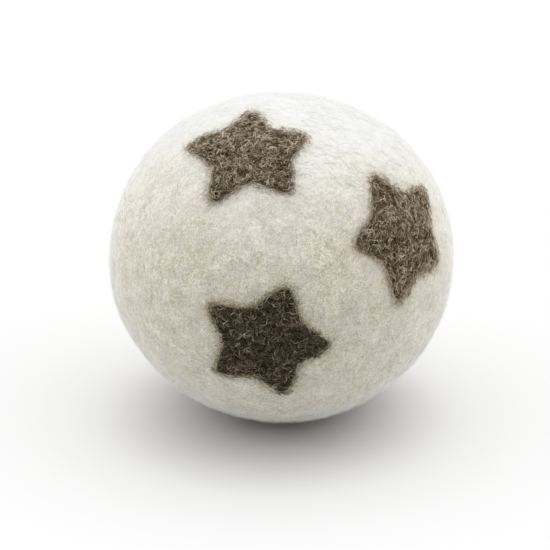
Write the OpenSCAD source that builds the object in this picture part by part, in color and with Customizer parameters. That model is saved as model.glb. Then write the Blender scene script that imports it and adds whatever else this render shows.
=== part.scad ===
// Hand-felted wool dryer ball with star inlays.
// The ball stands on the plane z = 0, with its resting patch centred on the origin.
// The front looks along -Y and the right-hand side is +X.

/* [Ball] */
// Width of the ball, across its widest level
ball_w = 72; // [64:1:85]
// Height of the ball over its width, because a felted ball settles a little flat
ball_squat = 0.951; // [0.93:0.001:1]
// Width of the patch that the ball's own weight presses flat
foot_w = 14; // [8:1:20]

/* [Layers] */
// Share of the ball's width that is the tight core
core_share = 0.46; // [0.35:0.01:0.5]
// Thickness of the first wool wrap round the core
inner_wrap_t = 8; // [5:0.5:8]
// Thickness of the outer skin of fine white wool
skin_t = 4.5; // [3:0.5:5.5]

/* [Stars] */
// Distance from a star's middle to the tip of a point, before the tip is rounded
star_r = 14.8; // [10:0.1:15.5]
// Distance to the corner between two points, as a share of the distance to a tip
star_valley = 0.57; // [0.5:0.01:0.65]
// Length taken off each side of a tip to round it
tip_round = 3.8; // [1:0.1:4]
// Length taken off each side of the corner between two points to round it
valley_round = 1.2; // [0.5:0.1:2]
// Thickness of the felt that a star is cut from
star_t = 1.4; // [0.8:0.1:2.5]

/* [Hidden] */

// Each star's place: degrees round from the front, degrees above the level, degrees spun in its own plane.
upper_place = [-22, 60.3, 19];
right_place = [50, 24.2, 6];
lower_place = [-5, -4.5, -17];
back_right_place = [140, 28, -25];
back_left_place = [-135, 22, 12];
back_low_place = [175, -38, 30];
star_places = [
    upper_place, right_place, lower_place,
    back_right_place, back_left_place, back_low_place
];

ball_r = ball_w / 2;
half_h = ball_r * ball_squat;
foot_r = foot_w / 2;
// The flat patch cuts the form at the level where the form is as wide as the patch.
centre_z = half_h * sqrt(1 - pow(foot_r / ball_r, 2));

core_inset = ball_r * (1 - core_share);
inner_wrap_inset = core_inset - inner_wrap_t;

star_corners = 10;
round_steps = 3;
smooth = 96;

cream = [0.93, 0.91, 0.86];
wrap_cream = [0.86, 0.83, 0.76];
wrap_grey = [0.72, 0.69, 0.64];
core_grey = [0.60, 0.56, 0.51];
star_brown = [0.33, 0.28, 0.24];

// One corner of the star: even corners are tips and odd ones lie between two points.
function star_corner(i) =
    let (r = i % 2 == 0 ? star_r : star_r * star_valley, a = 90 + 360 / star_corners * i)
    [r * cos(a), r * sin(a)];

// How far the rounding of a corner reaches along its two sides
function corner_round(i) = i % 2 == 0 ? tip_round : valley_round;

// The place a given distance from p on the way to q
function toward(p, q, distance) = p + (q - p) / norm(q - p) * distance;

// A point on the curve that rounds corner i, from one side at t = 0 to the other at t = 1
function rounded(i, t) =
    let (q = star_corner(i))
    pow(1 - t, 2) * toward(q, star_corner(i + star_corners - 1), corner_round(i))
    + 2 * t * (1 - t) * q
    + pow(t, 2) * toward(q, star_corner(i + 1), corner_round(i));

star_outline = [
    for (i = [0 : star_corners - 1])
        for (s = [0 : round_steps])
            rounded(i, s / round_steps)
];

// The ball's full form, drawn in by inset all round
module form(inset) {
    translate([0, 0, centre_z])
        scale([1, 1, (half_h - inset) / (ball_r - inset)])
            sphere(r = ball_r - inset, $fn = smooth);
}

// The wool between two depths below the surface
module layer(outer_inset, inner_inset) {
    difference() {
        form(outer_inset);
        form(inner_inset);
    }
}

// The space under the ball that the surface it rests on takes up
module ground() {
    translate([-ball_w, -ball_w, -ball_w])
        cube([2 * ball_w, 2 * ball_w, ball_w]);
}

// A star-shaped cut, from the ball's middle outwards at one place
module star_cut(place) {
    translate([0, 0, centre_z])
        rotate([90 - place[1], 0, place[0]])
            rotate([0, 0, place[2]])
                linear_extrude(height = ball_w)
                    polygon(star_outline);
}

// A star of felt that lies in the skin, level with its surface
module felt_star(place) {
    color(star_brown)
        intersection() {
            star_cut(place);
            layer(0, star_t);
        }
}

// Outer skin of fine white wool, with a shallow seat for each star
module felt_skin() {
    color(cream)
        difference() {
            layer(0, skin_t);
            ground();
            difference() {
                for (place = star_places)
                    star_cut(place);
                form(star_t);
            }
        }
}

// Second wrap of carded wool, laid across the first
module outer_wrap() {
    color(wrap_cream)
        layer(skin_t, inner_wrap_inset);
}

// First wrap of carded wool, round the core
module inner_wrap() {
    color(wrap_grey)
        layer(inner_wrap_inset, core_inset);
}

// Tight core of coarse wool
module wool_core() {
    color(core_grey)
        form(core_inset);
}

module star_upper() { felt_star(upper_place); }
module star_right() { felt_star(right_place); }
module star_lower() { felt_star(lower_place); }
module star_back_right() { felt_star(back_right_place); }
module star_back_left() { felt_star(back_left_place); }
module star_back_low() { felt_star(back_low_place); }

felt_skin();
outer_wrap();
inner_wrap();
wool_core();
star_upper();
star_right();
star_lower();
star_back_right();
star_back_left();
star_back_low();
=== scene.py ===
"""Looks for the felted wool dryer ball with star inlays, built round its CAD frame.

Lengths are in metres, in the CAD frame: the ball stands on z = 0, its front looks along -Y
and +X is to the right as one faces it. Every piece is a mesh made on the ball's own form, whose
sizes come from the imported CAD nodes.
"""
import math

import bpy
import numpy as np
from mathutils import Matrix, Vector


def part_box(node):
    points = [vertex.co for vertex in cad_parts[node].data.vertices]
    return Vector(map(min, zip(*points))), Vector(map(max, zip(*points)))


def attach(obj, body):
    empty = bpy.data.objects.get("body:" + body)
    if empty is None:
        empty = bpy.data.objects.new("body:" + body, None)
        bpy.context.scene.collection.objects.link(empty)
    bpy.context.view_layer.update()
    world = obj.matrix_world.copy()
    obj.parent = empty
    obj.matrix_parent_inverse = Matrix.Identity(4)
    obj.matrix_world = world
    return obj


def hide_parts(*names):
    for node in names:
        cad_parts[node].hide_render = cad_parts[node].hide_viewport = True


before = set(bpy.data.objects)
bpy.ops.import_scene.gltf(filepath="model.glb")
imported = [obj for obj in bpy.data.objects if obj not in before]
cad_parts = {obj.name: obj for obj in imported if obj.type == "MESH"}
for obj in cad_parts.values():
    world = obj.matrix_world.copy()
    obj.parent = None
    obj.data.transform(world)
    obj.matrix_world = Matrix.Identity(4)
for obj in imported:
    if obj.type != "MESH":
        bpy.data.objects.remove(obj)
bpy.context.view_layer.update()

MM = 0.001
UP = np.array([0.0, 0.0, 1.0])

# ---------------------------------------------------------------- sizes from the frame

# The ball is a slightly squat ellipsoid, cut flat at the foot.
FOOT_R = 7 * MM
SKIN_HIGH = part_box("felt_skin")[1]
BALL_R = SKIN_HIGH.x
HALF_H = SKIN_HIGH.z / (1 + math.sqrt(1 - (FOOT_R / BALL_R) ** 2))
HALF_SIZES = np.array([BALL_R, BALL_R, HALF_H])
CENTRE = np.array([0.0, 0.0, SKIN_HIGH.z - HALF_H])


def inset_of(node):
    """How far a node's outer surface lies below the ball's own."""
    return BALL_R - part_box(node)[1].x


OUTER_WRAP_INSET = inset_of("outer_wrap")
INNER_WRAP_INSET = inset_of("inner_wrap")
CORE_INSET = inset_of("wool_core")

# ---------------------------------------------------------------- camera

CAMERA_FAR = 0.42
CAMERA_ABOVE = math.radians(25)
# The ball's width as a share of the picture's, and how far the view's middle lies off the ball's.
BALL_SHARE = 0.6236
AIM_LEFT = 1.3 * MM
AIM_DOWN = 3.9 * MM
SENSOR_MM = 36


def add_camera():
    """A long lens, looking down a little at the front of the ball."""
    out = Vector((0, -math.cos(CAMERA_ABOVE), math.sin(CAMERA_ABOVE)))
    up = Vector((0, math.sin(CAMERA_ABOVE), math.cos(CAMERA_ABOVE)))
    data = bpy.data.cameras.new("camera")
    camera = bpy.data.objects.new("camera", data)
    bpy.context.scene.collection.objects.link(camera)
    camera.location = Vector(CENTRE) + out * CAMERA_FAR - up * AIM_DOWN - Vector((AIM_LEFT, 0, 0))
    camera.rotation_euler = out.to_track_quat("Z", "Y").to_euler()
    ball_seen = 2 * BALL_R / math.sqrt(1 - (BALL_R / CAMERA_FAR) ** 2)
    data.sensor_width = SENSOR_MM
    data.lens = SENSOR_MM * CAMERA_FAR / (ball_seen / BALL_SHARE)
    data.clip_start = 0.01
    bpy.context.scene.camera = camera


add_camera()

# ---------------------------------------------------------------- small maths


def unit(vectors):
    """The same directions at length 1."""
    return vectors / np.linalg.norm(vectors, axis=-1, keepdims=True)


def dot(a, b):
    """The dot product of each pair of vectors, as a column."""
    return (a * b).sum(-1, keepdims=True)


def direction(around, above):
    """The direction so many degrees round from the front and above the level."""
    around, above = math.radians(around), math.radians(above)
    return np.array([
        math.sin(around) * math.cos(above),
        -math.cos(around) * math.cos(above),
        math.sin(above),
    ])


def smooth_step(x, low, high):
    """0 up to low and 1 from high on, with a smooth rise between."""
    t = np.clip((x - low) / (high - low), 0, 1)
    return t * t * (3 - 2 * t)


def hashed(cell, seed):
    """A well-mixed whole number for each lattice corner."""
    h = (cell[:, 0] * 73856093) ^ (cell[:, 1] * 19349663) ^ (cell[:, 2] * 83492791)
    h = (h ^ (seed * 2654435761)) & 0xFFFFFFFF
    h = ((h ^ (h >> 15)) * 2246822519) & 0xFFFFFFFF
    h = ((h ^ (h >> 13)) * 3266489917) & 0xFFFFFFFF
    return h ^ (h >> 16)


def noise(points, size, seed):
    """Smooth noise, from about -1 to 1, whose lumps are about size across."""
    scaled = points / size
    cell = np.floor(scaled).astype(np.int64)
    within = scaled - cell
    fade = within * within * within * (within * (within * 6 - 15) + 10)
    total = np.zeros(len(points))
    for corner in np.ndindex(2, 2, 2):
        number = hashed(cell + corner, seed)
        # Three slopes from -1 to 1, each out of ten bits.
        bits = np.stack([number & 1023, (number >> 10) & 1023, (number >> 20) & 1023], 1)
        slope = bits / 511.5 - 1
        weight = np.where(corner, fade, 1 - fade).prod(1)
        total += weight * (slope * (within - corner)).sum(1)
    return total * 1.5


def relief(points, layers, seed=0):
    """Layers of noise together; each is (lump size, height, its own part of the seed)."""
    return sum(height * noise(points, size, seed + own) for size, height, own in layers)


# ---------------------------------------------------------------- the ball's form


def on_form(directions, inset=0.0):
    """Points of the plain form in these directions from the ball's middle."""
    directions = unit(directions)
    reach = np.linalg.norm(directions / (HALF_SIZES - inset), axis=1)
    return CENTRE + directions / reach[:, None]


def outward(points):
    """The form's outward normals at these points."""
    return unit((points - CENTRE) / HALF_SIZES ** 2)


# Broad lumps that felting leaves, then the fine relief of the fibres.
FELT_RELIEF = [
    (26 * MM, 0.35 * MM, 1),
    (11 * MM, 0.16 * MM, 2),
    (5 * MM, 0.08 * MM, 3),
    (2.4 * MM, 0.025 * MM, 4),
    (1.1 * MM, 0.025 * MM, 5),
]
# Painted light: the white wool is painted paler towards the top of the ball, where the light falls
# strongest, between these shares of the ball's height, which drift by this relief.
TOP_LIGHT_FROM = 0.68
TOP_LIGHT_FULL = 1.02
TOP_LIGHT_DRIFTS = [(13 * MM, 0.07, 8)]


def press_flat(points, softness=0.4 * MM):
    """Presses what would be under the floor flat on it, with a soft rim."""
    pressed = points.copy()
    z = points[:, 2]
    pressed[:, 2] = (z + np.sqrt(z * z + softness ** 2)) / 2
    return pressed


def felt_surface(directions, above=0.0):
    """Points on the felt itself, raised by above."""
    plain = on_form(directions)
    rise = relief(plain, FELT_RELIEF) + above
    return press_flat(plain + outward(plain) * np.reshape(rise, (-1, 1)))


def painted_top_light(points):
    """How strongly the painted top light makes the white wool paler at each point, from 0 below to 1 on
    top, in drifts.
    """
    height = points[:, 2] / SKIN_HIGH.z + relief(points, TOP_LIGHT_DRIFTS)
    return smooth_step(height, TOP_LIGHT_FROM, TOP_LIGHT_FULL)


# ---------------------------------------------------------------- star outlines

STAR_R = 14.8 * MM
STAR_VALLEY = 0.57
TIP_ROUND = 3.8 * MM
VALLEY_ROUND = 1.2 * MM
STAR_T = 1.4 * MM

# place: degrees round from the front, above the level, and spun in its own plane.
# shade: how dark the mix of its fibres is, from 0 to 1.
# tips and valleys: how the hand-cut corners differ, anticlockwise from the top, as (reach's share,
# degrees off its even place).
STARS = {
    "star_upper": {
        "place": (-22, 60.3, 19),
        "shade": 0.0,
        "tips": ((0.99, 0), (1.09, -4), (1.0, 0), (1.01, 2), (0.92, 2)),
        "valleys": ((1.06, -6), (0.95, 0), (0.95, 2), (1.06, -2), (0.83, 0)),
    },
    "star_right": {
        "place": (50, 24.2, 6),
        "shade": 0.1,
        "tips": ((0.98, -1), (1.0, 2), (1.04, 2), (0.88, 0), (1.05, 1)),
        "valleys": ((1.09, 8), (1.06, 0), (1.06, -4), (0.95, 2), (0.98, -3)),
    },
    "star_lower": {
        "place": (-5, -4.5, -17),
        "shade": 1.0,
        "tips": ((0.97, -2), (1.01, 3), (1.0, 2), (1.01, -4), (0.95, -3)),
        "valleys": ((1.02, 4), (1.0, -2), (0.96, 0), (0.97, 0), (1.04, 0)),
    },
    "star_back_right": {
        "place": (140, 28, -25),
        "shade": 0.3,
        "tips": ((1.03, 2), (0.97, 0), (1.0, -3), (1.05, 0), (0.98, 2)),
        "valleys": ((0.97, 0), (1.03, 3), (1.0, 0), (0.96, -2), (1.02, 0)),
    },
    "star_back_left": {
        "place": (-135, 22, 12),
        "shade": 0.5,
        "tips": ((0.98, 0), (1.04, -2), (1.02, 3), (0.96, 0), (1.01, -2)),
        "valleys": ((1.02, 2), (0.98, 0), (1.04, 0), (1.0, -3), (0.97, 2)),
    },
    "star_back_low": {
        "place": (175, -38, 30),
        "shade": 0.4,
        "tips": ((1.01, 3), (0.99, 0), (1.05, 2), (0.97, -3), (1.03, 0)),
        "valleys": ((1.0, 0), (1.04, -2), (0.96, 0), (1.02, 3), (0.98, 0)),
    },
}


def star_axes(star):
    """A star's directions: out of the ball, to its own right, and up towards its first tip."""
    around, above, spin = star["place"]
    out = direction(around, above)
    up = unit(UP - out[2] * out)
    right = np.cross(up, out)
    spin = math.radians(spin)
    own_right = right * math.cos(spin) + up * math.sin(spin)
    own_up = up * math.cos(spin) - right * math.sin(spin)
    return out, own_right, own_up


def star_outline(star, steps=12):
    """The cut's outline in the star's own plane, anticlockwise, with its corners rounded."""
    corners = []
    even_step = math.pi / 5
    for tip, valley in zip(star["tips"], star["valleys"]):
        for (share, turn), reach in ((tip, STAR_R), (valley, STAR_R * STAR_VALLEY)):
            angle = math.pi / 2 + even_step * len(corners) + math.radians(turn)
            corners.append(share * reach * np.array([math.cos(angle), math.sin(angle)]))
    outline = []
    for number, corner in enumerate(corners):
        cut = VALLEY_ROUND if number % 2 else TIP_ROUND
        start = corner + unit(corners[number - 1] - corner) * cut
        end = corner + unit(corners[(number + 1) % len(corners)] - corner) * cut
        for t in np.linspace(0, 1, steps):
            outline.append((1 - t) ** 2 * start + 2 * t * (1 - t) * corner + t * t * end)
    return np.array(outline)


def evenly(outline, count):
    """The closed outline again, as count points the same distance apart."""
    closed = np.vstack([outline, outline[:1]])
    along = np.concatenate([[0], np.cumsum(np.linalg.norm(np.diff(closed, axis=0), axis=1))])
    at = np.linspace(0, along[-1], count, endpoint=False)
    return np.stack([np.interp(at, along, closed[:, k]) for k in (0, 1)], 1)


def from_star_plane(star, flat):
    """Directions from the ball's middle to points of a star's plane laid on the form along its axis."""
    out, right, up = star_axes(star)
    across = (flat[:, :1] * right + flat[:, 1:] * up) / HALF_SIZES
    along = out / HALF_SIZES
    a, b, c = along @ along, 2 * across @ along, (across ** 2).sum(1) - 1
    reach = (-b + np.sqrt(b * b - 4 * a * c)) / (2 * a)
    return reach[:, None] * out + across * HALF_SIZES


def to_star_plane(star, points):
    """Where points of the ball fall in a star's own plane, and whether they are on its side."""
    out, right, up = star_axes(star)
    points = points - CENTRE
    return np.stack([points @ right, points @ up], 1), points @ out > 0


def depth_inside(flat, outline):
    """How far inside an outline each point is; negative outside it."""
    best = np.full(len(flat), np.inf)
    inside = np.zeros(len(flat), bool)
    for a, b in zip(outline, np.roll(outline, -1, axis=0)):
        edge = b - a
        t = np.clip((flat - a) @ edge / (edge @ edge), 0, 1)
        best = np.minimum(best, np.linalg.norm(flat - a - t[:, None] * edge, axis=1))
        crosses = (a[1] > flat[:, 1]) != (b[1] > flat[:, 1])
        with np.errstate(divide="ignore", invalid="ignore"):
            inside ^= crosses & (flat[:, 0] < a[0] + (flat[:, 1] - a[1]) / edge[1] * edge[0])
    return np.where(inside, best, -best)


def depth_in_stars(points):
    """How far inside the nearest star each point of the ball is; very negative away from them."""
    deepest = np.full(len(points), -BALL_R)
    for star in STARS.values():
        flat, near = to_star_plane(star, points)
        near &= np.linalg.norm(flat, axis=1) < 1.5 * STAR_R
        depth = depth_inside(flat[near], star_outline(star, steps=5))
        deepest[near] = np.maximum(deepest[near], depth)
    return deepest


# ---------------------------------------------------------------- mesh building


def mesh_from(name, points, corner_counts, corners, tones=None, marks=()):
    """A mesh from arrays: how many corners each face has, and all their point numbers in a row.

    tones is each face's material number; marks are named values for each point.
    """
    mesh = bpy.data.meshes.new(name)
    mesh.vertices.add(len(points))
    mesh.vertices.foreach_set("co", points.astype(np.float32).ravel())
    mesh.loops.add(len(corners))
    mesh.loops.foreach_set("vertex_index", corners.astype(np.int32))
    mesh.polygons.add(len(corner_counts))
    starts = np.concatenate([[0], np.cumsum(corner_counts)[:-1]])
    mesh.polygons.foreach_set("loop_start", starts.astype(np.int32))
    if tones is not None:
        mesh.polygons.foreach_set("material_index", tones.astype(np.int32))
    for mark, values in dict(marks).items():
        mesh.attributes.new(mark, "FLOAT", "POINT").data.foreach_set("value", values.astype(np.float32))
    mesh.update(calc_edges=True)
    mesh.validate()
    mesh.shade_smooth()
    return mesh


def add_piece(name, mesh, materials, replaces=()):
    """Puts a mesh in the scene as a piece that rides on the one CAD body."""
    for material in materials:
        mesh.materials.append(material)
    piece = bpy.data.objects.new(name, mesh)
    bpy.context.scene.collection.objects.link(piece)
    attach(piece, "root")
    if replaces:
        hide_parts(*replaces)
    return piece


def ball_grid(squares):
    """Directions and quads of a cube with so many squares along each edge, swelled to a ball."""
    ticks = np.tan(np.linspace(-math.pi / 4, math.pi / 4, squares + 1))
    across, along = np.meshgrid(ticks, ticks, indexing="ij")
    face_size = (squares + 1) ** 2
    ids = np.arange(face_size).reshape(squares + 1, squares + 1)
    quad = np.stack([ids[:-1, :-1], ids[1:, :-1], ids[1:, 1:], ids[:-1, 1:]], -1).reshape(-1, 4)
    points, quads = [], []
    for axis in range(3):
        for side in (-1, 1):
            face = np.empty((face_size, 3))
            face[:, axis] = side
            face[:, (axis + 1) % 3] = across.ravel()
            face[:, (axis + 2) % 3] = along.ravel()
            quads.append((quad if side > 0 else quad[:, ::-1]) + len(points) * face_size)
            points.append(face)
    points = np.concatenate(points)
    _, first, same = np.unique(points.round(9), axis=0, return_index=True, return_inverse=True)
    return unit(points[first]), same.ravel()[np.concatenate(quads)]


# ---------------------------------------------------------------- materials

# The tint of the painted top light: what the white wool is painted towards at its palest.
TOP_LIGHT_TINT = (0.665, 0.665, 0.635)
# Crossing layers of fibre lines in matted wool: the swirls' size, their shift, and the lines' spacing.
COMBINGS = ((3.4 * MM, 0.05, 0.11), (2.2 * MM, 0.12, 0.14), (1.4 * MM, 0.21, 0.2))
# A fibre line's width, as a share of the spacing.
LINE_WIDTH = 0.75


def new_material(name):
    """A material with its Principled shader, for felt: rough, with hardly any gloss."""
    material = bpy.data.materials.new(name)
    material.use_nodes = True
    shader = material.node_tree.nodes["Principled BSDF"]
    shader.inputs["Roughness"].default_value = 0.95
    shader.inputs["Specular IOR Level"].default_value = 0.15
    shader.inputs["Sheen Roughness"].default_value = 0.35
    return material, shader


def linked(material, kind, values=(), sources=(), **settings):
    """A new node with its settings, socket values and links from other nodes' outputs."""
    node = material.node_tree.nodes.new(kind)
    for key, value in settings.items():
        setattr(node, key, value)
    for key, value in dict(values).items():
        node.inputs[key].default_value = value
    for key, source in dict(sources).items():
        material.node_tree.links.new(source, node.inputs[key])
    return node


def maths(material, operation, a, b):
    """A Math node's output, for a linked a and a plain number b."""
    return linked(material, "ShaderNodeMath", {1: b}, {0: a}, operation=operation).outputs["Value"]


def cloudy(material, place, size, shift, detail, distortion):
    """Smooth noise with lumps of this size, from a place of its own."""
    moved = linked(
        material, "ShaderNodeVectorMath", {1: (shift, shift * 0.7, -shift)}, {0: place}, operation="ADD"
    ).outputs["Vector"]
    values = {"Scale": 1 / size, "Detail": detail, "Roughness": 0.55, "Distortion": distortion}
    return linked(material, "ShaderNodeTexNoise", values, {"Vector": moved}).outputs["Fac"]


def combed(material, place, size, shift, spacing):
    """Curling fibre lines, 1 on a line and 0 between: the contours of swirling noise."""
    swirl = cloudy(material, place, size, shift, detail=1.6, distortion=1.3)
    between = maths(material, "PINGPONG", swirl, spacing / 2)
    values = {"From Min": spacing / 2 * LINE_WIDTH, "From Max": 0, "To Min": 0, "To Max": 1}
    return linked(material, "ShaderNodeMapRange", values, {"Value": between}).outputs["Result"]


def tone_ramp(material, source, stops):
    """A colour ramp with (position, colour) stops."""
    node = linked(material, "ShaderNodeValToRGB", sources={"Fac": source})
    ramp = node.color_ramp
    while len(ramp.elements) < len(stops):
        ramp.elements.new(0.5)
    for element, (position, color) in zip(ramp.elements, stops):
        element.position = position
        element.color = (*color, 1)
    return node.outputs["Color"]


def mixed(material, kind, share, a, b):
    """Two sockets or plain values of a kind, FLOAT or RGBA, mixed by a share."""
    node = linked(material, "ShaderNodeMix", data_type=kind)
    suffix = {"FLOAT": "_Float", "RGBA": "_Color"}[kind]
    for key, value in (("Factor_Float", share), ("A" + suffix, a), ("B" + suffix, b)):
        socket = next(each for each in node.inputs if each.identifier == key)
        if isinstance(value, bpy.types.NodeSocket):
            material.node_tree.links.new(value, socket)
        else:
            socket.default_value = value
    return next(each for each in node.outputs if each.identifier == "Result" + suffix)


def felt_material(name, stops, rim, bump, sheen):
    """Matted wool: crossing layers of fibre lines over clouded ground, with their relief.

    Where its mesh is marked "edge" it is tinted towards rim, and where it carries the mark of painted
    top light, it is painted paler towards that light's tint.
    """
    material, shader = new_material(name)
    place = linked(material, "ShaderNodeTexCoord").outputs["Object"]
    clouds = cloudy(material, place, 3.2 * MM, 0.31, detail=4, distortion=0.5)
    layers = [combed(material, place, *combing) for combing in COMBINGS]
    each = 1 / len(layers)
    lines = maths(material, "MULTIPLY", layers[0], each)
    for layer in layers[1:]:
        sources = {0: layer, 2: lines}
        node = linked(material, "ShaderNodeMath", {1: each}, sources, operation="MULTIPLY_ADD")
        lines = node.outputs["Value"]
    tone = mixed(material, "FLOAT", 0.5, lines, clouds)
    color = tone_ramp(material, tone, stops)
    # Painted light comes first: where marked, the wool is painted paler for the light on top; then the
    # tint near the stars.
    for mark, tint in (("painted_top_light", TOP_LIGHT_TINT), ("edge", rim)):
        share = linked(material, "ShaderNodeAttribute", attribute_name=mark).outputs["Fac"]
        color = mixed(material, "RGBA", share, color, (*tint, 1))
    links = material.node_tree.links
    links.new(color, shader.inputs["Base Color"])
    values = {"Strength": bump, "Distance": 0.08 * MM}
    raised = linked(material, "ShaderNodeBump", values, {"Height": lines})
    links.new(raised.outputs["Normal"], shader.inputs["Normal"])
    shader.inputs["Sheen Weight"].default_value = sheen
    return material


def strand_material(name, color, sheen):
    """One tone of single fibre."""
    material, shader = new_material(name)
    shader.inputs["Base Color"].default_value = (*color, 1)
    shader.inputs["Sheen Weight"].default_value = sheen
    return material


CREAM_FELT = felt_material(
    "cream_felt",
    [(0.3, (0.42, 0.375, 0.27)), (0.5, (0.62, 0.58, 0.47)), (0.7, (0.79, 0.77, 0.685))],
    rim=(0.36, 0.26, 0.15), bump=0.25, sheen=1.0,
)
BROWN_FELT = felt_material(
    "brown_felt",
    [(0.25, (0.014, 0.009, 0.004)), (0.45, (0.06, 0.044, 0.027)), (0.65, (0.20, 0.16, 0.11))],
    rim=(0.30, 0.235, 0.16), bump=0.8, sheen=0.2,
)
CREAM_STRANDS = [
    strand_material("strand_white", (0.87, 0.865, 0.82), 0.4),
    strand_material("strand_cream", (0.775, 0.75, 0.655), 0.4),
    strand_material("strand_beige", (0.55, 0.50, 0.375), 0.4),
    strand_material("strand_fuzz", (0.97, 0.97, 0.97), 1.0),
    # A paler, greyer tone of white fibre: painted light, for the top of the ball where the light falls
    # strongest.
    strand_material("strand_painted_top_light", (0.71, 0.71, 0.675), 0.4),
]
BROWN_STRANDS = [
    strand_material("strand_black_brown", (0.020, 0.013, 0.006), 0.0),
    strand_material("strand_dark_brown", (0.08, 0.056, 0.028), 0.1),
    strand_material("strand_brown", (0.215, 0.155, 0.085), 0.1),
    strand_material("strand_grey_brown", (0.385, 0.315, 0.215), 0.2),
    strand_material("strand_pale", (0.70, 0.615, 0.475), 0.3),
    strand_material("strand_golden", (0.34, 0.23, 0.115), 0.1),
]
# The tone that white strands take under the painted top light, painted paler for the light on top: its
# number in CREAM_STRANDS.
TOP_LIT_TONE = 4
# Shares of the strands' tones, in the order of CREAM_STRANDS or of BROWN_STRANDS.
SINGLE_MIX = (0.3, 0.4, 0.3)
WISP_MIX = (0.8, 0.2, 0.0)
FUZZ_MIX = (0, 0, 0, 1)
VEIL_MIX = (0.5, 0.3, 0.2)
LIGHT_MIX = np.array([0.20, 0.18, 0.18, 0.22, 0.22, 0])
DARK_MIX = np.array([0.42, 0.26, 0.15, 0.12, 0.05, 0])
FRINGE_MIX = (0.06, 0.22, 0.26, 0.10, 0.01, 0.35)

# ---------------------------------------------------------------- the skin

SKIN_SQUARES = 120
SKIN_INSIDE_SQUARES = 40
# The stars' seats: how deep they are, and how far inside the outline their walls start and end.
SEAT_DEPTH = STAR_T - 0.2 * MM
SEAT_WALL = (0.5 * MM, 1.6 * MM)
# How the white is tinted brown near a star, by stray brown fibres at the edge and more faintly up to 7
# mm out: a share, and the depths between which it comes in.
STAR_TINTS = ((0.12, -7 * MM, 0), (0.22, -0.9 * MM, 0.1 * MM))


def make_skin():
    """The white felt ball: a closed relief surface with seats for the stars, and its inner wall."""
    directions, quads = ball_grid(SKIN_SQUARES)
    outer = felt_surface(directions)
    depth = depth_in_stars(on_form(directions))
    seat = SEAT_DEPTH * smooth_step(depth, *SEAT_WALL)
    outer -= outward(outer) * seat[:, None]
    inner_directions, inner_quads = ball_grid(SKIN_INSIDE_SQUARES)
    inner = on_form(inner_directions, OUTER_WRAP_INSET)
    points = np.vstack([outer, inner])
    faces = np.vstack([quads, inner_quads[:, ::-1] + len(outer)])
    star_tint = sum(share * smooth_step(depth, low, high) for share, low, high in STAR_TINTS)
    # Painted light: the felt is marked to be painted paler towards the top of the ball.
    marks = {"edge": np.concatenate([star_tint, np.zeros(len(inner))]), "painted_top_light": painted_top_light(points)}
    mesh = mesh_from("felt_ball", points, np.full(len(faces), 4), faces.ravel(), marks=marks)
    skin = add_piece("felt_ball", mesh, [CREAM_FELT], ["felt_skin"])


make_skin()

# ---------------------------------------------------------------- the stars

STAR_RINGS = 34
STAR_SPOKES = 200
# How the edge wanders in its plane, and the nap of the top.
EDGE_RELIEF = [(1.9 * MM, 0.28 * MM, 0), (0.7 * MM, 0.16 * MM, 1)]
NAP_RELIEF = [(1.0 * MM, 0.11 * MM, 2), (0.55 * MM, 0.07 * MM, 3)]
# How far inside the edge the nap is full, the top at its height and the underside at its depth.
NAP_IN = 0.6 * MM
CROWN_IN = 1.3 * MM
UNDER_IN = 1.5 * MM
# The edge lies this far below the felt, the top rises this far from there, and the underside lies this
# far below the top. It sets off from a little outside the edge, which leaves the rim some thickness.
EDGE_SINK = 0.2 * MM
CROWN_RISE = 0.42 * MM
UNDER_DEPTH = STAR_T - 0.3 * MM
UNDER_OUT = 0.2 * MM
# How far inside its edge a star is tinted by the white wool, and how much.
TINT_IN = 0.7 * MM
TINT = 0.5


def ragged(outline, seed):
    """An outline whose edge wanders a little, as a felted edge does."""
    spots = np.column_stack([outline, np.zeros(len(outline))])
    return outline + unit(outline) * relief(spots, EDGE_RELIEF, seed)[:, None]


def disc_faces(count):
    """The faces of a star: a fan and rings of quads on top, the same below, and the rim.

    count is how many points the top has; the underside's come after them.
    """
    spokes = np.arange(STAR_SPOKES)
    after = (spokes + 1) % STAR_SPOKES
    fan = np.stack([np.zeros(STAR_SPOKES, int), 1 + spokes, 1 + after], 1)
    quads = np.vstack([
        np.stack([a + spokes, a + STAR_SPOKES + spokes, a + STAR_SPOKES + after, a + after], 1)
        for a in 1 + STAR_SPOKES * np.arange(STAR_RINGS - 1)
    ])
    last = 1 + STAR_SPOKES * (STAR_RINGS - 1)
    rim = np.stack([last + spokes, last + count + spokes, last + count + after, last + after], 1)
    parts = (fan, fan[:, ::-1] + count, quads, quads[:, ::-1] + count, rim)
    corner_counts = np.concatenate([np.full(len(part), part.shape[1]) for part in parts])
    return corner_counts, np.concatenate([part.ravel() for part in parts])


def make_star(name, star, seed):
    """A cut star of felt: a soft-edged top, level with the skin, and a flat underside in its seat."""
    edge = ragged(evenly(star_outline(star), STAR_SPOKES), seed)
    shares = np.linspace(0, 1, STAR_RINGS + 1)[1:]
    flat = np.vstack([[[0, 0]], (shares[:, None, None] * edge).reshape(-1, 2)])
    depth = depth_inside(flat, edge)
    depth[-STAR_SPOKES:] = 0
    directions = from_star_plane(star, flat)
    nap = relief(on_form(directions), NAP_RELIEF, seed)
    crown = CROWN_RISE * smooth_step(depth, 0, CROWN_IN) - EDGE_SINK
    top = felt_surface(directions, crown + nap * smooth_step(depth, 0, NAP_IN))
    under = top - outward(top) * UNDER_DEPTH * smooth_step(depth, -UNDER_OUT, UNDER_IN)[:, None]
    near_edge = np.tile(TINT * smooth_step(-depth, -TINT_IN, 0), 2)
    corner_counts, corners = disc_faces(len(top))
    mesh = mesh_from(name, np.vstack([top, under]), corner_counts, corners, marks={"edge": near_edge})
    piece = add_piece(name + "_felt", mesh, [BROWN_FELT], [name])


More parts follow.
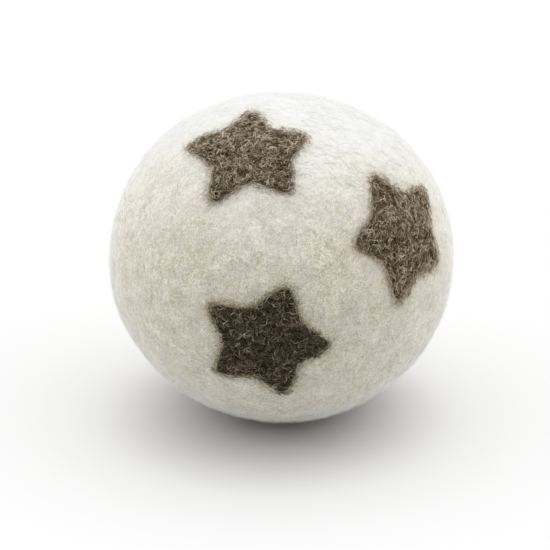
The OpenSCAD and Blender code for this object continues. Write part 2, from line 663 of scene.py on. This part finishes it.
# Each star, and below each piece of fibres, has a seed of its own.
for number, (star_name, star_facts) in enumerate(STARS.items()):
    make_star(star_name, star_facts, 20 + 7 * number)

# ---------------------------------------------------------------- single fibres

FIBRE_STEPS = 5
# How thick a fibre's ends are, as a share of its middle.
FIBRE_END = 0.35
# How far the fibres of a wisp spread from its heart, and how far they fan out.
WISP_SPREAD = 0.2 * MM
WISP_FAN = 0.16

# Kinds of fibre, in millimetres: the ranges of their length, their thickness and how far their middle
# lifts, and how deep their ends sink in the felt. curl is how much they bend.
SINGLE = {"length": (1.5, 4.5), "thick": (0.045, 0.07), "lift": (0.0, 0.06), "sink": 0.03, "curl": 0.3}
WISP = {"length": (2.0, 5.5), "thick": (0.045, 0.07), "lift": (0.0, 0.1), "sink": 0.02, "curl": 0.25}
FUZZ = {"length": (0.8, 2.6), "thick": (0.025, 0.045), "lift": (0.1, 0.5), "sink": 0, "curl": 0.6}
VEIL = {"length": (1.0, 2.8), "thick": (0.03, 0.055), "lift": (0.05, 0.25), "sink": -0.1, "curl": 0.4}
INLAID = {"length": (0.8, 2.8), "thick": (0.06, 0.12), "lift": (0.0, 0.3), "sink": -0.16, "curl": 0.7}
TUFT = {"length": (0.8, 2.4), "thick": (0.07, 0.12), "lift": (0.05, 0.35), "sink": -0.2, "curl": 0.8}
FRINGE = {"length": (0.4, 1.6), "thick": (0.045, 0.08), "lift": (0.05, 0.4), "sink": -0.14, "curl": 0.9}
STRAY = {"length": (1.2, 5.0), "thick": (0.03, 0.045), "lift": (0.0, 0.25), "sink": -0.05, "curl": 0.4}

# How many fibres, or tufts, each star is given, before those that reach too far out are dropped.
INLAID_COUNT = 2600
TUFT_COUNT = 600
FRINGE_COUNT = 2200
STRAY_COUNT = 10
# The same for the veil over all the stars' edges, and for a piece of the skin's fibres or its fuzz.
VEIL_COUNT = 5000
PIECE_COUNT = 6200
SKIN_PIECES = 6
FUZZ_PIECES = 5
# The share of the skin's fibres that take the paler tone of painted top light where that light is
# strongest.
TOP_LIT_SHARE = 0.95
# No white fibre grows lower than this, beside the foot.
FOOT_CLEAR = 1.2 * MM


def fibre_lines(rng, roots, headings, length, curl, lift, sink):
    """Curved lines that run over the felt from these roots, with sunk ends and raised middles."""
    count = len(roots)
    step = (length / FIBRE_STEPS)[:, None]
    turn = rng.normal(0, curl, count)
    bend = rng.normal(0, curl, count)
    place, heading = roots.copy(), headings.copy()
    lines = np.empty((FIBRE_STEPS + 1, count, 3))
    for number in range(FIBRE_STEPS + 1):
        out = outward(place)
        rise = lift * math.sin(math.pi * number / FIBRE_STEPS) - sink
        lines[number] = felt_surface(place - CENTRE, rise)
        heading = unit(heading - dot(heading, out) * out)
        angle = ((turn + bend * (number - FIBRE_STEPS / 2)) * step[:, 0] / MM)[:, None]
        heading = heading * np.cos(angle) + np.cross(out, heading) * np.sin(angle)
        place = on_form(place + heading * step - CENTRE)
    return lines


def fibre_mesh(name, lines, thickness, tones):
    """Three-sided closed strands along the lines, finer at their ends; one tone each."""
    rings, count, _ = lines.shape
    along = unit(np.gradient(lines, axis=0))
    out = outward(lines.reshape(-1, 3)).reshape(lines.shape)
    side = unit(np.cross(along, out))
    over = np.cross(side, along)
    taper = FIBRE_END + (1 - FIBRE_END) * np.sin(np.linspace(0, math.pi, rings))
    radius = taper[:, None, None] * thickness[:, None] / 2
    points = np.stack([
        lines + radius * (math.cos(a) * over + math.sin(a) * side)
        for a in (0, 2 * math.pi / 3, 4 * math.pi / 3)
    ], 2)
    points = points.transpose(1, 0, 2, 3).reshape(-1, 3)
    first = np.arange(count)[:, None] * rings * 3
    ring = np.arange(rings - 1)[None, :, None, None] * 3
    side_no = np.arange(3)[None, None, :, None]
    next_no = (side_no + 1) % 3
    low = first[:, :, None, None] + ring
    sides = np.concatenate([low + side_no, low + next_no, low + 3 + next_no, low + 3 + side_no], 3)
    caps_low = first + np.array([2, 1, 0])
    caps_high = first + (rings - 1) * 3 + np.array([0, 1, 2])
    side_faces = sides.reshape(-1, 4)
    corner_counts = np.concatenate([np.full(len(side_faces), 4), np.full(2 * count, 3)])
    corners = np.concatenate([side_faces.ravel(), caps_low.ravel(), caps_high.ravel()])
    face_tones = np.concatenate([np.repeat(tones, (rings - 1) * 3), tones, tones])
    return mesh_from(name, points, corner_counts, corners, face_tones)


def tangents(rng, points):
    """A random direction along the surface at each point."""
    out = outward(points)
    random = rng.normal(size=points.shape)
    return unit(random - dot(random, out) * out)


def strands(rng, hearts, mix, length, thick, lift, sink, curl, clump=1, top_lit=0):
    """Lines, thicknesses and tones of fibres, clump of them from each heart, side by side.

    mix is the tones' shares; the share given last is that of the fibres on top of the ball which take
    the paler tone of painted top light instead.
    """
    headings = tangents(rng, hearts).repeat(clump, axis=0)
    tones = rng.choice(len(mix), len(hearts), p=mix)
    # Painted light: fibres on top are given the paler tone of the light that falls there.
    tones[rng.random(len(hearts)) < top_lit * painted_top_light(hearts)] = TOP_LIT_TONE
    tones = tones.repeat(clump)
    roots = hearts.repeat(clump, axis=0)
    if clump > 1:
        roots = on_form(roots + rng.normal(0, WISP_SPREAD, roots.shape) - CENTRE)
        headings = unit(headings + rng.normal(0, WISP_FAN, headings.shape))
    count = len(roots)
    lifts = rng.uniform(*lift, count) * MM
    lengths = rng.uniform(*length, count) * MM
    lines = fibre_lines(rng, roots, headings, lengths, curl, lifts, sink * MM)
    return lines, rng.uniform(*thick, count) * MM, tones


def kept(group, keep):
    """Those fibres of a group for which keep is true."""
    lines, thickness, tones = group
    return lines[:, keep], thickness[keep], tones[keep]


def add_fibres(name, materials, groups):
    """One piece from groups of fibres."""
    lines, thickness, tones = (list(parts) for parts in zip(*groups))
    mesh = fibre_mesh(name, np.concatenate(lines, 1), np.concatenate(thickness), np.concatenate(tones))
    add_piece(name, mesh, materials)


def deepest_in_stars(lines):
    """How deep into a star each line reaches, judged at every second step along it."""
    some = lines[::2]
    return depth_in_stars(some.reshape(-1, 3)).reshape(some.shape[:2]).max(0)


def clear_roots(rng, count):
    """Points spread over the white felt, off the stars and the foot."""
    roots = on_form(rng.normal(size=(count * 3 // 2, 3)))
    clear = (depth_in_stars(roots) < 0) & (roots[:, 2] > FOOT_CLEAR)
    return roots[clear][:count]


def skin_fibres(name, seed):
    """White fibres matted on the skin, singly and in wisps of five; some run over a star's edge."""
    rng = np.random.default_rng(seed)
    roots = clear_roots(rng, PIECE_COUNT // 2)
    single = strands(rng, roots, SINGLE_MIX, **SINGLE, top_lit=TOP_LIT_SHARE)
    hearts = clear_roots(rng, PIECE_COUNT // 10)
    wisps = strands(rng, hearts, WISP_MIX, **WISP, clump=5, top_lit=TOP_LIT_SHARE)
    groups = []
    for group in (single, wisps):
        reach = rng.exponential(0.4 * MM, len(group[1]))
        groups.append(kept(group, deepest_in_stars(group[0]) < reach))
    add_fibres(name, CREAM_STRANDS, groups)


def fuzz_fibres(name, seed):
    """Fine loops of wool that stand a little off the ball."""
    rng = np.random.default_rng(seed)
    fuzz = strands(rng, clear_roots(rng, PIECE_COUNT), FUZZ_MIX, **FUZZ)
    fuzz = kept(fuzz, deepest_in_stars(fuzz[0]) < 0.4 * MM)
    add_fibres(name, CREAM_STRANDS, [fuzz])


def roots_by_star(rng, star, low, high, count):
    """Points on the form whose depth inside a star's outline is between low and high."""
    box = STAR_R * 1.1 - min(low, 0)
    flat = rng.uniform(-box, box, (count * 10, 2))
    depth = depth_inside(flat, star_outline(star, steps=4))
    flat = flat[(depth > low) & (depth < high)][:count]
    return on_form(from_star_plane(star, flat))


def brown_fibres(name, star, seed):
    """A star's own fibres: matted over it in curls, fringing its edge, and a few astray on the white."""
    rng = np.random.default_rng(seed)
    outline = star_outline(star, steps=4)
    mix = LIGHT_MIX * (1 - star["shade"]) + DARK_MIX * star["shade"]
    inside = roots_by_star(rng, star, 0, STAR_R, INLAID_COUNT + TUFT_COUNT)
    edge = roots_by_star(rng, star, -0.7 * MM, 0.3 * MM, FRINGE_COUNT)
    outside = roots_by_star(rng, star, -6 * MM, -0.6 * MM, STRAY_COUNT)
    # Each group, and how far out of the star its fibres reach on average.
    grown = [
        (strands(rng, inside[:INLAID_COUNT], mix, **INLAID), 0.1 * MM),
        (strands(rng, inside[INLAID_COUNT:], mix, **TUFT, clump=3), 0.1 * MM),
        (strands(rng, edge, FRINGE_MIX, **FRINGE), 0.8 * MM),
        (strands(rng, outside, DARK_MIX, **STRAY), BALL_R),
    ]
    groups = []
    for group, reach in grown:
        spots = to_star_plane(star, group[0].reshape(-1, 3))[0]
        depth = depth_inside(spots, outline).reshape(group[0].shape[:2]).min(0)
        groups.append(kept(group, depth > -rng.exponential(reach, len(depth))))
    add_fibres(name, BROWN_STRANDS, groups)


def veil_fibres(name, seed):
    """White fibres felted over the edges of the stars."""
    rng = np.random.default_rng(seed)
    share = VEIL_COUNT // len(STARS)
    roots = np.vstack([
        roots_by_star(rng, star, -1.2 * MM, 0.1 * MM, share) for star in STARS.values()
    ])
    veil = strands(rng, roots, VEIL_MIX, **VEIL)
    veil = kept(veil, deepest_in_stars(veil[0]) < rng.exponential(0.5 * MM, len(roots)))
    add_fibres(name, CREAM_STRANDS, [veil])


for number, (star_name, star_facts) in enumerate(STARS.items()):
    brown_fibres(star_name + "_fibres", star_facts, 100 + number)
for number in range(SKIN_PIECES):
    skin_fibres(f"skin_fibres_{number + 1}", 200 + number)
for number in range(FUZZ_PIECES):
    fuzz_fibres(f"fuzz_fibres_{number + 1}", 300 + number)
veil_fibres("veil_fibres", 400)

# ---------------------------------------------------------------- inner layers

LAYER_SQUARES = 72
LAYER_INSIDE_SQUARES = 24
# The nap on the wound bands, and how far a layer stays below the one round it.
WOUND_RELIEF = [(1.6 * MM, 0.12 * MM, 0)]
LAYER_GAP = 0.15 * MM


def wound_bands(directions, seed, count, width, thick):
    """How far bands of wool wound round a ball stand off it, the later ones over the earlier."""
    rng = np.random.default_rng(seed)
    rise = np.zeros(len(directions))
    for layer, axis in enumerate(unit(rng.normal(size=(count, 3)))):
        across = np.abs(directions @ axis - rng.uniform(-0.4, 0.4)) / width
        band = np.sqrt(np.clip(1 - across ** 2, 0, 1)) * thick * (0.5 + 0.5 * layer / count)
        rise = np.maximum(rise, band)
    return rise


def make_layer(node, material, inset, inner_inset, bands):
    """A layer of wound wool inside the ball; the innermost one is solid."""
    directions, quads = ball_grid(LAYER_SQUARES)
    plain = on_form(directions, inset + bands["thick"] + LAYER_GAP)
    rise = wound_bands(directions, **bands) + relief(plain, WOUND_RELIEF, bands["seed"])
    points = plain + outward(plain) * rise[:, None]
    faces = quads
    if inner_inset:
        inner_directions, inner_quads = ball_grid(LAYER_INSIDE_SQUARES)
        faces = np.vstack([quads, inner_quads[:, ::-1] + len(points)])
        points = np.vstack([points, on_form(inner_directions, inner_inset)])
    mesh = mesh_from(node, points, np.full(len(faces), 4), faces.ravel())
    add_piece(node + "_wool", mesh, [material], [node])


CREAM_WOOL = felt_material(
    "cream_wool",
    [(0.25, (0.50, 0.42, 0.29)), (0.5, (0.66, 0.59, 0.46)), (0.75, (0.78, 0.73, 0.61))],
    rim=(0.34, 0.26, 0.17), bump=0.8, sheen=0.6,
)
GREY_WOOL = felt_material(
    "grey_wool",
    [(0.25, (0.26, 0.235, 0.20)), (0.5, (0.42, 0.385, 0.33)), (0.75, (0.60, 0.56, 0.49))],
    rim=(0.2, 0.18, 0.15), bump=0.8, sheen=0.5,
)
COARSE_WOOL = felt_material(
    "coarse_wool",
    [(0.25, (0.12, 0.10, 0.08)), (0.5, (0.26, 0.22, 0.175)), (0.75, (0.45, 0.40, 0.33))],
    rim=(0.1, 0.08, 0.06), bump=1.0, sheen=0.4,
)
make_layer(
    "outer_wrap", CREAM_WOOL, OUTER_WRAP_INSET, INNER_WRAP_INSET,
    {"seed": 11, "count": 26, "width": 0.19, "thick": 0.7 * MM},
)
make_layer(
    "inner_wrap", GREY_WOOL, INNER_WRAP_INSET, CORE_INSET,
    {"seed": 12, "count": 22, "width": 0.24, "thick": 0.8 * MM},
)
make_layer(
    "wool_core", COARSE_WOOL, CORE_INSET, None,
    {"seed": 13, "count": 34, "width": 0.12, "thick": 1.0 * MM},
)

# ---------------------------------------------------------------- floor and light

FLOOR_SIZE = 6
# Broad soft lights: where each comes from, as degrees round from the front and above the level, how
# narrow it is, and how strong.
LIGHTS = {
    "behind": {"place": (180, 70), "narrow": 8, "strength": 4.0},
    "left": {"place": (-90, 45), "narrow": 5, "strength": 2.1},
    "low left": {"place": (-90, 5), "narrow": 3, "strength": 0.6},
    "right": {"place": (90, 45), "narrow": 5, "strength": 2.9},
}
# The brightness from which the picture's highlights soften, the one that is white, and how many
# points the curve between them has.
SHOULDER_FROM = 0.75
WHITE_FROM = 1.3
SHOULDER_POINTS = 5


def add_floor():
    """A plain pale floor."""
    bpy.ops.mesh.primitive_plane_add(size=FLOOR_SIZE)
    floor = bpy.context.object
    floor.name = "floor"
    material, shader = new_material("floor_white")
    shader.inputs["Base Color"].default_value = (0.68, 0.68, 0.68, 1)
    shader.inputs["Roughness"].default_value = 1
    shader.inputs["Specular IOR Level"].default_value = 0
    floor.data.materials.append(material)


def add_lights():
    """A dark studio whose walls and ceiling carry the broad white lights."""
    world = bpy.data.worlds.new("studio")
    bpy.context.scene.world = world
    world.use_nodes = True
    shader = world.node_tree.nodes["Background"]
    shader.inputs["Color"].default_value = (1, 1, 1, 1)
    towards = linked(world, "ShaderNodeTexCoord").outputs["Generated"]
    total = None
    for facts in LIGHTS.values():
        axis = tuple(direction(*facts["place"]))
        facing = linked(world, "ShaderNodeVectorMath", {1: axis}, {0: towards}, operation="DOT_PRODUCT")
        lit = maths(world, "MAXIMUM", facing.outputs["Value"], 0)
        lobe = maths(world, "POWER", lit, facts["narrow"])
        light = maths(world, "MULTIPLY", lobe, facts["strength"])
        if total is not None:
            both = linked(world, "ShaderNodeMath", (), {0: light, 1: total}, operation="ADD")
            light = both.outputs["Value"]
        total = light
    world.node_tree.links.new(total, shader.inputs["Strength"])


def soften_highlights():
    """Lets the brightest tones run gently into white, as a camera does."""
    view = bpy.context.scene.view_settings
    view.view_transform = "Standard"
    view.use_curve_mapping = True
    view.curve_mapping.use_clip = False
    # The fourth curve is the one for all colours together.
    points = view.curve_mapping.curves[3].points
    points[1].location = (WHITE_FROM, 1)
    room = 1 - SHOULDER_FROM
    for light in np.linspace(SHOULDER_FROM, WHITE_FROM, SHOULDER_POINTS, endpoint=False):
        points.new(light, 1 - room * math.exp((SHOULDER_FROM - light) / room))
    view.curve_mapping.update()


add_floor()
add_lights()
soften_highlights()
